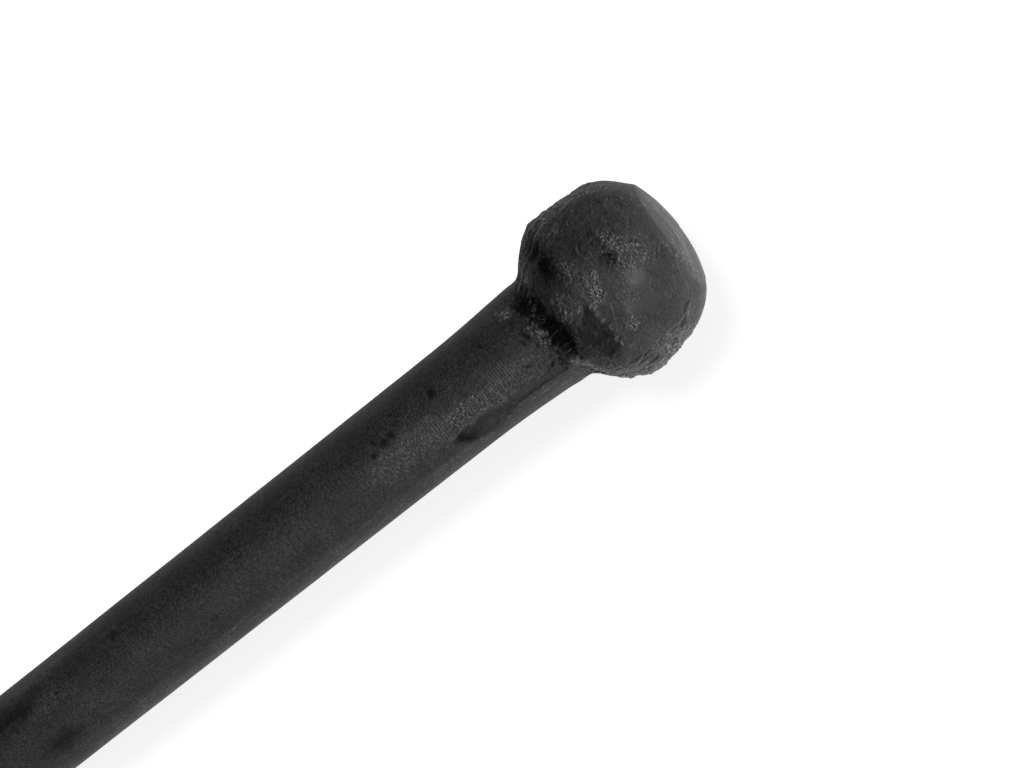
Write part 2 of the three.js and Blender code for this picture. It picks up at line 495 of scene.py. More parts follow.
def scaly_places(surf, marks, flat):
    """Rough scale with loose flakes, a broken lump, and the smooth lacquer that ran between them."""
    p = surf.points
    rough = np.zeros(surf.station.shape)
    for station, at, length, width, strength in SCALY_PLACES:
        rough = np.maximum(rough, strength * surf.patch(station, at, length, width, 0.6, 1.0))
    rough = rough * (1 - flat)
    flakes = np.zeros(surf.station.shape)
    for seed, (stations, angles, count) in enumerate(FLAKES):
        flakes = np.maximum(flakes, surf.strokes(110 + seed, count, stations, angles, 1.4, 0.17, 40, 0.25))
    marks["rough"] += rough + 0.5 * flakes
    marks["out"] += rough * (0.13 * layered(p, 1.5, 7, 2) + 0.06 * noise(p, 0.75, 9)) + 0.16 * flakes
    marks["worn"] += 0.5 * flakes + 0.35 * rough
    marks["bright"] += 0.28 * flakes * ramp(surf.rag_along, -0.6, 0.5)
    lump = surf.patch(20.4, -11, 4.6, 5.2, 0.5, 0.9)
    marks["out"] -= lump * (0.3 + 0.3 * layered(p, 1.6, 11, 2))
    # the dark inside the pressed-in lump is painted shade
    marks["dark"] += lump * ramp(layered(p, 1.8, 12, 2), -0.6, 0.3) * 0.85
    marks["calm"] += 0.45 * surf.patch(16, 22, 17, 19, 0.9, 1.0)
    for station, at, length, width in DRIPS:
        drip = surf.patch(station, at, length, width, 0.5, 0.8)
        add(marks, drip, calm=0.85, out=0.06)


# grooves folded over towards the neck, as (station, degrees) routes
FOLDS = [
    [(42.5, -66), (38, -63), (32, -66), (27, -70)],
    [(42.8, -75), (37, -73), (31, -77)],
    [(43, 55), (40.5, 66), (38, 76), (33, 88), (27, 97)],
    [(42, 62), (38, 78), (32.5, 95)],
    [(43.5, 120), (38, 128), (30, 124)],
    [(43.5, -150), (37, -146), (31, -152)],
]


def wrinkles_and_folds(surf, marks):
    """Fine wrinkles drawn towards the neck on both flanks of the ball, and a few deep folds."""
    degrees, on_ball = surf.degrees, surf.on_ball
    far_flank = ramp(degrees, -34, -58) * ramp(degrees, -112, -96)
    near_flank = ramp(degrees, 54, 70) * ramp(degrees, 112, 96)
    flank = np.maximum(far_flank, near_flank)
    flank = flank * ramp(surf.station, 12, 26)
    flank = flank + 0.6 * ramp(surf.true_station, 36, 40) * ramp(surf.true_station, 45, 43.5)
    slant = np.where(degrees < 0, 28, -8)
    flank = flank * on_ball
    combed = surf.combed(0, 1.15, 6, slant, 13) + 0.3 * surf.combed(0, 0.7, 5, slant + 12, 14)
    wrinkles = 1 - 2.4 * np.abs(combed)
    marks["out"] += 0.1 * flank * wrinkles
    marks["rough"] += 0.5 * flank * ramp(wrinkles, 0.3, 0.9)
    # the wrinkles' troughs are darkened: painted shade
    marks["dark"] += 0.35 * flank * ramp(wrinkles, -0.1, -0.6)
    marks["worn"] += 0.45 * flank * ramp(wrinkles, 0.4, 0.95)
    marks["lengthwise"] += flank
    for route in FOLDS:
        groove = surf.line(route, 0.35, 0.6)
        # each fold's groove is darkened as well as pressed in: painted shade
        add(marks, groove, out=-0.25, dark=0.6)
        lip = surf.line([(s + 0.5, d + 1.8) for s, d in route], 0.3, 0.6)
        marks["out"] += 0.16 * lip
        marks["worn"] += 0.45 * lip * on_ball


# where the die's two halves met on the underside, as a (station, degrees) route
FLASH_ROUTE = [(44.6, 42), (43.2, 46), (38.8, 61), (35.7, 75), (31, 86), (24, 90), (15, 90)]


def parting_flash(surf, marks):
    """The die's parting flash: a raised, torn lip along the underside, and a plain one on the far side."""
    p, degrees, on_ball = surf.points, surf.degrees, surf.on_ball
    flash = surf.line(FLASH_ROUTE, 0.75, 0.35)
    close = np.exp(-(np.log(flash + 1e-9) / 6) ** 2)
    torn = close * surf.strokes(106, 110, (14, 44), (40, 97), 4.0, 0.3, 0, 0.3)
    marks["out"] += flash * on_ball * (0.35 + 0.25 * noise(p, 1.6, 15)) + 0.15 * torn
    marks["worn"] += 0.7 * flash * ramp(surf.rag_round, -0.8, 0.4)
    marks["bright"] += 0.3 * torn + 0.06 * flash
    marks["lengthwise"] += flash
    flowing = surf.strokes(109, 70, (14, 43), (54, 92), 7.0, 0.16, 4, 0.2)
    add(marks, flowing, out=0.14, bright=0.34)
    furrows = surf.strokes(120, 45, (14, 43), (54, 92), 6.0, 0.2, 4, 0.2)
    # the furrows are darkened as well as pressed in: painted shade
    add(marks, furrows, out=-0.16, dark=0.45)
    underside = on_ball * ramp(degrees, 60, 80) * ramp(degrees, 112, 96) * ramp(surf.station, 12, 20)
    add(marks, underside, worn=0.22, lengthwise=1)
    far_flash = surf.line([(43, -97), (36, -90), (25, -86), (12, -84)], 0.6, 0.5)
    add(marks, far_flash * on_ball, out=0.3, worn=0.5)


def creases_and_nicks(surf, marks):
    """A crease where two blows met, small steps, and the nicks and scuffs of use."""
    crease = surf.line([(11.5, 52), (14.5, 58), (18.2, 63), (22, 72), (25.5, 80)], 0.4, 0.5)
    # the crease is darkened as well as pressed in: painted shade
    add(marks, crease, out=-0.22, dark=0.35)
    crest = surf.line([(10.4, 55), (13.4, 61), (17, 66), (20.6, 75), (24, 83)], 0.5, 0.5)
    marks["out"] += 0.28 * crest
    marks["bright"] += 0.22 * crest * ramp(surf.rag_round, -0.3, 0.6)
    marks["out"] -= 0.65 * np.exp(-((surf.true_station - 2.3) / 1.6) ** 2) * ramp(surf.degrees, 22, 60)
    marks["out"] += 0.4 * surf.patch(9.5, 60, 12, 20, 0.9)
    tick = surf.line([(15.6, -17), (13.4, -12), (11.4, -9)], 0.24, 0.2)
    # the tick is darkened as well as pressed in: painted shade
    add(marks, tick, out=-0.14, dark=0.6)
    step = surf.line([(12, -62), (11, -38), (11.5, -22), (19, -14), (27, -17)], 1.4, 0.6)
    marks["out"] += 0.12 * step
    nicks = surf.strokes(103, 60, (8, 34), (-52, -10), 2.2, 0.2, 80)
    add(marks, nicks, out=-0.08, dark=0.4)
    scuffs = surf.strokes(104, 90, (4, 40), (-60, 90), 1.8, 0.2, 60)
    add(marks, scuffs, out=0.07, rough=0.6)
    marks["out"] += 0.08 * surf.strokes(105, 110, (4, 42), (-180, 180), 2.2, 0.25, 60)
    marks["bright"] += 0.13 * surf.strokes(107, 170, (4, 42), (-95, 100), 2.0, 0.17, 70)
    marks["dark"] += 0.35 * surf.strokes(108, 120, (6, 42), (-80, 80), 2.4, 0.22, 75)


def neck_marks(surf, marks):
    """Everything that they left on the neck, the nicks behind it, and painted shade in the corner."""
    torn_corner(surf, marks)
    fillet_and_parting(surf, marks)
    neck_nicks(surf, marks)


# the corner between ball and neck: station by degrees
CORNER_DEGREES = [-60, -42, -25, -4, 8, 20, 32, 45]
CORNER_STATION = [45.2, 45.4, 44.8, 43.5, 43.2, 43.6, 44.2, 44.6]
CORNER_LIPS = [(46.0, -26), (46.4, -14), (47.4, 1), (48.9, 13), (48.2, 20), (47.2, 30), (46.8, 42)]


def torn_corner(surf, marks):
    """The torn corner between ball and neck, with painted shade in and round it, threads across it and
    ragged lips.
    """
    p, near = surf.points, surf.degrees
    facing = ramp(near, -72, -24) * ramp(near, 44, 28)
    middle = np.interp(near, CORNER_DEGREES, CORNER_STATION)
    middle = middle + 0.4 * surf.rag_along + 0.5 * noise(p, 4, 21)
    gape = 1.2 + 0.8 * facing + 0.45 * noise(p, 5, 27)
    torn = np.exp(-np.abs((surf.station - middle) / np.maximum(gape, 0.5)) ** 2.2)
    deep = (0.15 + 0.85 * facing) * (0.75 + 0.3 * noise(p, 3.5, 22))
    marks["out"] -= 1.25 * torn * deep
    # darkening the torn groove on the side the camera sees is painted shade
    marks["dark"] += torn * facing
    # shade: a wider band of painted shade round the corner, on the side the camera sees
    shade = np.exp(-np.abs((surf.station - middle) / 3.9) ** 2.4) * facing
    marks["dark"] += 0.7 * shade * (0.6 + 0.8 * surf.rag_round) * (0.5 + 0.5 * ramp(near, -48, -30))
    marks["bright"] *= 1 - 0.8 * np.clip(torn * facing + 0.7 * shade, 0, 1)
    threads = surf.strokes(201, 90, (39.5, 48.5), (-52, 42), 2.2, 0.17, 55, 0.6)
    threads = threads * facing * ramp(noise(p, 3, 24), -0.7, 0.3)
    add(marks, threads, out=0.12, dark=-0.12, bright=0.03)
    cracks = surf.strokes(205, 80, (38.5, 49.5), (-60, 40), 3.2, 0.24, 80, 0.35)
    marks["out"] -= 0.2 * cracks
    # the cracks darken more near the corner: painted shade
    marks["dark"] += 0.7 * cracks * ramp(np.abs(surf.station - middle - 0.5), 5.5, 2.5)
    lips = surf.line(CORNER_LIPS, 0.6, 1.0)
    beads = surf.strokes(202, 24, (45.8, 49.2), (-20, 24), 1.0, 0.17, 60, 0.3)
    marks["out"] += 0.26 * lips + 0.15 * beads
    marks["rough"] += 0.6 * lips
    marks["worn"] += 0.24 * lips * ramp(surf.rag_round, 0.1, 0.7)
    marks["bright"] += 0.4 * beads
    pits = surf.strokes(203, 16, (45, 52), (-30, 40), 1.2, 0.22, 60, 0.2)
    add(marks, pits, out=-0.2, dark=0.7)


def fillet_and_parting(surf, marks):
    """A fuller fillet under the neck, and the parting line that runs out of it."""
    near = surf.degrees
    fillet = np.exp(-(surf.round_from(92) / 13) ** 2) * np.exp(-((surf.station - 43.6) / 4.6) ** 2)
    marks["out"] += 0.45 * fillet
    parting = np.interp(surf.station, [44, 62, 68, 73, 80, 85], [43.5, 42, 47, 52, 47, 44])
    parting = parting + surf.rag_round
    fade = ramp(surf.true_station, 43, 45)
    below = fade * ramp(near, parting, parting + 3) * ramp(near, 100, 60)
    marks["out"] += 0.2 * below * ramp(surf.station, 92, 60)
    drawn = surf.combed(70, 0.8, 9, 0, 29) * below
    marks["out"] += 0.03 * drawn
    marks["worn"] += 0.18 * below * ramp(drawn, -0.2, 0.5)
    add(marks, below, calm=0.3, lengthwise=1)
    marks["dark"] += 0.4 * surf.line([(44.5, 43.5), (49.5, 44), (62, 42)], 0.35, 0.5) * fade


# nicks on the neck and the bar behind it: station, degrees, length, width, slant
NECK_NICKS = [
    (50.8, -9, 1.2, 3.4, 20), (52.5, -4, 0.8, 2.6, 20), (55.5, 16, 0.9, 2.6, 60), (49.5, 30, 0.8, 2.2, -30),
    (62, -30, 0.8, 1.6, 0), (80.4, -24, 2.6, 3.0, 20), (98.7, -13, 2.6, 2.6, 0), (96, -16, 1.2, 2.4, 30),
    (101, -21, 1.2, 2.0, 30), (103, -9, 1.6, 1.8, 0),
]


def neck_nicks(surf, marks):
    """A bright smear, and nicks."""
    smear = surf.patch(51.4, -41, 2.4, 4.4, 0.5, 0.8, slant=40) * ramp(surf.rag_round, -0.5, 0.4)
    smear = np.maximum(smear, surf.strokes(204, 12, (50, 53), (-46, -36), 1.5, 0.3, 40))
    add(marks, smear, worn=0.8, rough=0.7, bright=0.1)
    for station, degrees, length, width, slant in NECK_NICKS:
        nick = surf.patch(station, degrees, length, width, 0.6, 0.3, slant)
        add(marks, nick, out=-0.18, dark=0.7)


# outline of the smooth flat on the shank, as (station, degrees) corners
SHANK_FLAT = [(67.2, 32), (64.9, 40), (69.3, 56), (77.1, 52), (82.2, 43), (83.8, 31), (71.5, 28)]


def shank_marks(surf, marks):
    """The smooth flat left by the upsetting die, and the scale and chatter beside it."""
    p = surf.points
    flat = surf.inside(SHANK_FLAT, 1.1, 0.6)
    add(marks, flat, out=-0.24, calm=0.4)
    # the flat's darkening, stronger further from the ball, is painted shade: it stands in for the dark that
    # the smooth flat mirrors
    marks["dark"] += flat * (0.25 + 0.45 * ramp(surf.station, 70, 81)) * (1 + 0.5 * surf.rag_along)
    edge = surf.strokes(301, 34, (62, 84), (24, 31), 2.2, 0.24, 0, 0.3)
    marks["out"] += 0.1 * edge
    marks["bright"] += 0.14 * edge * (1 - flat)
    scale = surf.patch(73, 14, 24, 6.5, 0.5, 1.1, slant=-4)
    scale = np.maximum(scale, 0.7 * surf.patch(66, 22, 10, 6, 0.5, 1.0))
    scale = np.maximum(scale, 0.5 * surf.patch(56, 18, 14, 10, 0.6, 1.0))
    scale = np.maximum(scale, 0.7 * surf.patch(94, 10, 26, 9, 0.6, 1.2))
    marks["rough"] += scale * (1 - flat)
    marks["out"] += 0.06 * scale * layered(p, 1.4, 31, 2)
    flakes = surf.strokes(302, 150, (60, 88), (4, 27), 1.5, 0.22, 70, 0.25)
    flakes = np.maximum(flakes, 0.8 * surf.strokes(303, 120, (84, 112), (-6, 28), 1.5, 0.22, 70, 0.25))
    flakes = flakes * (1 - flat)
    marks["out"] += 0.08 * flakes
    marks["worn"] += 0.16 * flakes * scale + 0.1 * scale
    marks["bright"] += 0.04 * flakes * scale
    ripples = surf.patch(61.5, 7, 13, 5.5, 0.6, 0.7, slant=-20)
    ripples = np.maximum(ripples, surf.patch(85, 13, 7, 8, 0.6, 0.7))
    ripples = np.maximum(ripples, 0.5 * surf.patch(93, 3, 16, 7, 0.6, 1.0))
    marks["chatter"] += ripples


RANDOM = np.random.default_rng(11)
# scattered along the bar: station, degrees, length, width
PITS = [
    (RANDOM.uniform(90, 985), RANDOM.uniform(-180, 180), RANDOM.uniform(0.7, 2.4), RANDOM.uniform(0.6, 1.8))
    for _ in range(110)
]
SCABS = [
    (RANDOM.uniform(130, 980), RANDOM.uniform(-180, 180), RANDOM.uniform(5, 26), RANDOM.uniform(3, 9))
    for _ in range(34)
]
STAINS = [
    (194.6, -31, 3, 2), (226, 27, 12, 5.5), (234, -30, 12, 5), (342, 60, 16, 6),
    (468, -15, 14, 7), (590, 110, 18, 8), (655, 20, 10, 5), (742, -70, 15, 7),
]
MARK_REACH = 15                      # how far from its middle a scattered mark may show


def placed(surf, table, edge, ragged):
    """The table's patches that show on this surface."""
    low, high = surf.station.min() - MARK_REACH, surf.station.max() + MARK_REACH
    for station, degrees, length, width in table:
        if low < station < high:
            yield surf.patch(station, degrees, length, width, edge, ragged)


def scattered_marks(surf, marks):
    """Pits, stains and scabs of rolled-in scale along the rest of the bar."""
    for stain in placed(surf, STAINS, 0.8, 1.4):
        add(marks, stain, out=-0.06, dark=0.55)
    for pit in placed(surf, PITS, 0.7, 0.15):
        add(marks, pit, out=-0.1, dark=0.4)
    for scab in placed(surf, SCABS, 0.5, 0.9):
        marks["out"] += 0.05 * scab * layered(surf.points, 2, 41, 2)
        marks["rough"] += 0.8 * scab


def wedge_marks(surf, marks):
    """Hammer flats across the drawn-down end, and nicks along its edge."""
    p = surf.points
    drawn = ramp(surf.station, 806, 850) * ramp(surf.station, 987, 984)
    stretched = p * np.array([0.55, 1, 1])
    marks["out"] += drawn * (0.42 * layered(stretched, 12, 51, 2) + 0.05 * layered(p, 3, 53, 2))
    marks["rough"] += drawn * 0.7 * ramp(layered(p, 7, 55, 2), 0.1, 0.45)
    corner = ramp(np.abs(np.sin(2 * (surf.angle + CAMERA_SIDE))), 0.72, 1.0)
    marks["worn"] += 0.5 * drawn * corner * ramp(surf.station, 850, 940) * ramp(surf.rag_along, -0.4, 0.6)
    edge = ramp(surf.station + 1.5 * noise(p, 5, 58), 993, 998.5)
    marks["out"] -= 0.16 * edge * ramp(noise(p, 3.2, 57), 0.1, 0.8)
    marks["worn"] += edge


MARKS = ("rough", "calm", "dark", "worn", "bright", "lengthwise", "chatter")
FACE_STREAKS = np.array([1, 0.3, 1])
BALL_MARKS_TO = 130                  # the marks of the ball, the neck and the bar behind it end here
BAR_MARKS_FROM = 80                  # and the scattered ones begin


def forged(along, angle):
    """Points of the finished surface, in mm, and the marks on them."""
    plain = plain_surface(along, angle)
    points = beat_flats(plain)
    low, high = points[..., 0].min(), points[..., 0].max()
    marks = {name: np.zeros(angle.shape) for name in ("out",) + MARKS}
    marks["out"] += 0.06 * layered(points, 24, 61, 2) + 0.008 * layered(points, 3, 63, 2)
    across = points * np.array([1, 0.4, 0.4])
    marks["out"] += 0.014 * layered(across, 0.95, 65, 2)
    if low < BALL_MARKS_TO:
        surf = Surface(points, angle, as_seen=True)
        ball_marks(surf, marks)
        neck_marks(surf, marks)
        shank_marks(surf, marks)
    if high > BAR_MARKS_FROM:
        surf = Surface(points, angle, as_seen=False)
        scattered_marks(surf, marks)
        wedge_marks(surf, marks)
    return points + marks["out"][..., None] * grid_normals(plain), marks


# ------------------------ meshes


def world_points(points):
    """Rows of (station, across, up) in mm, as places in the frame."""
    to_world = np.array([-AXIS, SIDE, UP]) * MM
    return points.reshape(-1, 3) @ to_world + np.array(FACE)


def zone(name, node, slot, start, end, step, around):
    """One forging zone, from one station to another, as a closed mesh for its CAD node."""
    start, end = along_of(start), along_of(end)
    count = max(3, round((end - start) / step))
    stops = np.linspace(start, end, count + 1)
    ghost = stops[1] - stops[0]      # a row beyond each end, for the normals there
    pole = start == 0
    before = [ghost * 0.35] if pole else [start - ghost]
    if pole:
        stops = stops[1:]
    stops = np.concatenate([before, stops, [end + ghost]])
    angles = np.arange(around) / around * 2 * math.pi
    along, angle = np.meshgrid(stops, angles, indexing="ij")
    points, marks = forged(along, angle)
    normals = grid_normals(points)[1:-1]
    points = points[1:-1]
    marks = {key: np.clip(value[1:-1], 0, 1) for key, value in marks.items() if key != "out"}

    rows = len(points)
    vertices = world_points(points)
    near, far = points[0].mean(0), points[-1].mean(0)
    if pole:
        near[0] = points[0, :, 0].min()
    vertices = np.vstack([vertices, world_points(near), world_points(far)])
    here = np.arange(around)
    after = (here + 1) % around
    row = np.arange(rows - 1)[:, None] * around
    quads = np.stack([row + here, row + around + here, row + around + after, row + after], -1)
    quads = quads.reshape(-1, 4)
    near_cap = np.stack([here, after, np.full(around, rows * around)], -1)
    last = (rows - 1) * around
    far_cap = np.stack([last + after, last + here, np.full(around, rows * around + 1)], -1)
    faces = quads.tolist() + near_cap.tolist() + far_cap.tolist()

    mesh = bpy.data.meshes.new(name)
    mesh.from_pydata(vertices.tolist(), [], faces)
    mesh.materials.append(finishes[slot])
    smooth = np.ones(len(faces), bool)
    smooth[len(quads) + (around if pole else 0):] = False
    mesh.polygons.foreach_set("use_smooth", smooth)
    for key in MARKS:
        values = np.concatenate([marks[key].reshape(-1), [0, 0]])
        mesh.attributes.new(key, "FLOAT", "POINT").data.foreach_set("value", values)
    set_normals(mesh, normals.reshape(-1, 3), smooth)
    piece = bpy.data.objects.new(name, mesh)
    scene.collection.objects.link(piece)
    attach(piece, "root")
    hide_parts(node)
    return piece


def set_normals(mesh, normals, smooth):
    """Gives smooth faces the surface's own normals, so that no seam shows where two zones meet."""
    to_world = np.array([-AXIS, SIDE, UP])
    by_vertex = np.vstack([normals @ to_world, [-np.array(AXIS)] * 2])
    by_vertex[-2] = np.array(AXIS)
    corner_vertex = np.zeros(len(mesh.loops), int)
    mesh.loops.foreach_get("vertex_index", corner_vertex)
    totals = np.zeros(len(mesh.polygons), int)
    mesh.polygons.foreach_get("loop_total", totals)
    flat = np.zeros(len(mesh.polygons) * 3)
    mesh.polygons.foreach_get("normal", flat)
    corner_face = np.repeat(np.arange(len(mesh.polygons)), totals)
    own, plain = by_vertex[corner_vertex], flat.reshape(-1, 3)[corner_face]
    corners = np.where(smooth[corner_face][:, None], own, plain)
    mesh.normals_split_custom_set(corners.tolist())


# ------------------------ materials


class Nodes:
    """Short calls for building a node tree."""

    def __init__(self, tree):
        self.tree = tree
        tree.nodes.clear()

    def add(self, kind, inputs=None, **settings):
        node = self.tree.nodes.new(kind)
        for key, value in settings.items():
            setattr(node, key, value)
        for key, value in (inputs or {}).items():
            self.give(node.inputs[key], value)
        return node

    def give(self, socket, value):
        if isinstance(value, bpy.types.NodeSocket):
            self.tree.links.new(value, socket)
        else:
            socket.default_value = value

    def math(self, operation, a, b=0.0, c=0.0, clamp=False):
        node = self.add("ShaderNodeMath", {0: a, 1: b, 2: c}, operation=operation, use_clamp=clamp)
        return node.outputs[0]

    def times(self, a, b):
        return self.math("MULTIPLY", a, b)

    def plus(self, a, b):
        return self.math("ADD", a, b)

    def fade(self, value, low, high, to_low=0.0, to_high=1.0):
        inputs = {"Value": value, "From Min": low, "From Max": high, "To Min": to_low, "To Max": to_high}
        return self.add("ShaderNodeMapRange", inputs, interpolation_type="SMOOTHSTEP").outputs[0]

    def vector(self, operation, a, b, result="Vector"):
        second = "Scale" if operation == "SCALE" else 1
        return self.add("ShaderNodeVectorMath", {0: a, second: b}, operation=operation).outputs[result]

    def stretch(self, where, factors):
        return self.vector("MULTIPLY", where, factors)

    def toward(self, where, direction):
        return self.vector("DOT_PRODUCT", where, direction, "Value")

    def grain(self, where, size, detail=2.0, rough=0.5):
        inputs = {"Vector": where, "Scale": 1 / size, "Detail": detail, "Roughness": rough}
        return self.add("ShaderNodeTexNoise", inputs).outputs["Fac"]

    def ridge(self, value, width):
        """1 where the noise crosses its middle, so thin wandering lines."""
        off = self.math("ABSOLUTE", self.math("SUBTRACT", value, 0.5))
        return self.fade(off, width, 0.0)

    def mix(self, share, a, b):
        node = self.add("ShaderNodeMix", {"Factor": share}, data_type="RGBA")
        for socket, value in ((node.inputs[6], a), (node.inputs[7], b)):
            grey = isinstance(value, float)
            self.give(socket, (value, value, value, 1) if grey else value)
        return node.outputs[2]

    def mark(self, name):
        return self.add("ShaderNodeAttribute", attribute_name=name).outputs["Fac"]


def lacquered_forging(name, ground=False):
    """Thin black lacquer over forging scale; worn to dull steel on its sharpest lines."""
    material = bpy.data.materials.new(name)
    material.use_nodes = True
    n = Nodes(material.node_tree)
    place = n.vector("SCALE", n.add("ShaderNodeTexCoord").outputs["Object"], 1 / MM)
    drawn = n.stretch(place, (1.0, 0.42, 0.42))
    rough, calm, dark, worn, bright, lengthwise, chatter = (n.mark(key) for key in MARKS)

    peel = n.grain(drawn, 0.5, 2.0, 0.62)
    fine = n.grain(place, 0.31, 2.0, 0.65)
    scale = n.grain(drawn, 0.75, 2.0, 0.6)
    cloud = n.grain(place, 8.0, 4.0, 0.6)
    hairs = n.ridge(peel, 0.085)
    drawn_out = n.stretch(place, (0.28, 1.0, 1.0))
    wander = n.add("ShaderNodeTexNoise", {"Vector": place, "Scale": 0.35, "Detail": 1.0}).outputs["Color"]
    bent = n.vector("ADD", place, n.vector("SCALE", wander, 2.6))
    bent = n.stretch(bent, (1.0, 0.3, 0.3))
    flakes = n.fade(n.grain(bent, 0.27, 1.5, 0.5), 0.53, 0.63)
    long_flakes = n.fade(n.grain(drawn_out, 0.3, 1.0, 0.5), 0.54, 0.63)
    flakes = n.plus(flakes, n.times(lengthwise, n.math("SUBTRACT", long_flakes, flakes)))
    waves = {"Vector": place, "Scale": 0.37, "Distortion": 2.6, "Detail": 2.0, "Detail Scale": 1.4}
    bands = n.add("ShaderNodeTexWave", waves, wave_type="BANDS", bands_direction="X").outputs[1]
    keep = n.math("MULTIPLY_ADD", calm, -0.8, 1.0)
    chatter = n.times(chatter, n.fade(n.grain(place, 2.2, 1.0, 0.5), 0.3, 0.5))

    # bump, in units of BUMP_UNIT
    height = n.times(peel, PEEL_DEPTH)
    height = n.math("MULTIPLY_ADD", fine, FINE_DEPTH, height)
    height = n.math("MULTIPLY_ADD", hairs, HAIR_DEPTH, height)
    height = n.times(height, keep)
    height = n.plus(height, n.times(n.times(scale, rough), SCALE_DEPTH))
    height = n.plus(height, n.times(n.times(flakes, rough), FLAKE_DEPTH))
    height = n.plus(height, n.times(n.times(bands, chatter), CHATTER_DEPTH))
    if ground:
        scratches = n.grain(n.stretch(place, (1.0, 9.0, 1.0)), 1.6, 3.0, 0.7)
        height = n.plus(height, n.times(scratches, 0.5))
    bump = n.add("ShaderNodeBump", {"Height": height, "Strength": 1.0, "Distance": BUMP_UNIT})

    # colour
    tone = n.fade(cloud, 0.3, 0.7, 0.002, 0.006)
    speckle = n.times(hairs, n.fade(fine, 0.35, 0.6))
    speckle = n.times(speckle, n.fade(cloud, 0.3, 0.7, 0.05, 0.075))
    tone = n.math("MULTIPLY_ADD", speckle, keep, tone)
    tone = n.math("MULTIPLY_ADD", calm, 0.03, tone)
    tone = n.math("MULTIPLY_ADD", n.times(bands, chatter), 0.035, tone)
    colour = n.mix(n.times(flakes, rough), tone, 0.1)
    # the dark mark: painted shade in the corner at the neck, the hollows, grooves, creases and smooth
    # flats, and the dark of nicks, pits and stains; it goes near black
    colour = n.mix(dark, colour, 0.002)
    flecks = n.times(bright, n.fade(fine, 0.36, 0.56))
    bare = n.math("MAXIMUM", n.times(worn, flakes), flecks)
    colour = n.mix(bare, colour, 0.62)

    # gloss and metal
    gloss = n.fade(cloud, 0.3, 0.7, 0.46, 0.38)
    gloss = n.math("MULTIPLY_ADD", n.math("SUBTRACT", fine, 0.5), 0.6, gloss)
    gloss = n.math("MULTIPLY_ADD", rough, -0.08, gloss)
    gloss = n.math("MULTIPLY_ADD", dark, 0.25, gloss, clamp=True)
    metal = n.times(bare, 0.8)
    # metal with that near-black colour takes the lacquer's reflection away on the dark mark: part of the
    # painted shade
    metal = n.math("MAXIMUM", metal, n.times(dark, 0.85))
    if ground:
        steel = n.fade(scratches, 0.4, 0.62, 0.15, 0.55)
        colour = n.mix(steel, colour, 0.4)
        metal = n.math("MAXIMUM", metal, steel)
    surface = n.add("ShaderNodeBsdfPrincipled", {
        "Base Color": colour, "Roughness": gloss, "Metallic": metal, "IOR": 1.5, "Normal": bump.outputs[0],
    })
    n.add("ShaderNodeOutputMaterial", {"Surface": surface.outputs[0]})
    return material


BUMP_UNIT = 0.1 * MM
PEEL_DEPTH = 2.3                     # bump depths, in that unit
FINE_DEPTH = 1.5
SCALE_DEPTH = 3.0
HAIR_DEPTH = 0.35
FLAKE_DEPTH = 0.6
CHATTER_DEPTH = 0.9

# ------------------------ the bar

NEAR_SHANK_END = 222                 # station where the bar leaves the picture, and its mesh gets coarser
# mesh name, CAD node, finish, stations from and to, spacing along the bar, points round it
ZONES = [
    ("ball_head_forging", "ball_head", "black_lacquer", 0, NECK_JOIN, 0.32, 480),
    ("neck_forging", "neck", "black_lacquer", NECK_JOIN, SHANK_JOIN, 0.34, 400),
    ("shank_near_ball", "shank", "black_lacquer", SHANK_JOIN, NEAR_SHANK_END, 0.45, 280),
    ("shank_to_wedge", "shank", "black_lacquer", NEAR_SHANK_END, TAPER_JOIN, 1.5, 160),
    ("square_taper_forging", "square_taper", "black_lacquer", TAPER_JOIN, WEDGE_JOIN, 0.9, 200),
    ("wedge_blade", "wedge", "black_lacquer", WEDGE_JOIN, EDGE_JOIN, 0.8, 240),
    ("ground_cutting_edge", "cutting_edge", "ground_edge", EDGE_JOIN, LENGTH, 0.4, 240),
]
finishes = {
    "black_lacquer": lacquered_forging("black_lacquer"),
    "ground_edge": lacquered_forging("ground_edge", ground=True),
}
pieces = [zone(*facts) for facts in ZONES]

# ------------------------ floor, light

FLOOR_GLOW = 0.85                    # the floor's own light in the picture
FLOOR_AHEAD = (0.8, -0.6, 0)         # past the ball, and to the camera's side
# and as the bar mirrors it: metres ahead where it begins and ends to rise, strength before and after
FLOOR_GLOW_ON_BAR = 0.34, 0.44, 0.2, 0.8
BESIDE_THE_SHANK = 1.3               # how much more it glows in a strip there, on the camera's side
# where that strip fades in and out, in metres of Y, and where it ends ahead
STRIP_OUTER, STRIP_INNER, STRIP_AHEAD = (-0.034, -0.022), (0.0, -0.012), (0.37, 0.33)
ON_THE_FAR_SIDE = 0.7                # the share of its glow that is left on the far side
FAR_SIDE_BY = 0.03                   # metres of Y by which it has sunk to that
FLOOR_REACH = 8                      # metres
FLOOR_LIGHT_ENERGY = 4.2
FLOOR_LIGHT_WIDTH = math.radians(22)
FLOOR_LIGHT_LEAN = math.radians(17)  # from overhead to the far side
SKY_BASE = 0.014
# soft dome lights: degrees from overhead to the camera's side, lean towards the ball end, cosines where
# the light begins and is full, strength
SKY_LIGHTS = [
    (27, 0.15, 0.35, 0.98, 0.45),
    (75, 0.3, 0.4, 1.0, 0.26),
    (-25, 1.6, 0.45, 1.0, 0.82),
]
KEY_LEAN = math.radians(27)          # the softbox: from overhead to the camera's side
KEY_AHEAD = 0.15                     # and towards the ball end
KEY_WIDTH = math.radians(24)
KEY_ENERGY = 0.66


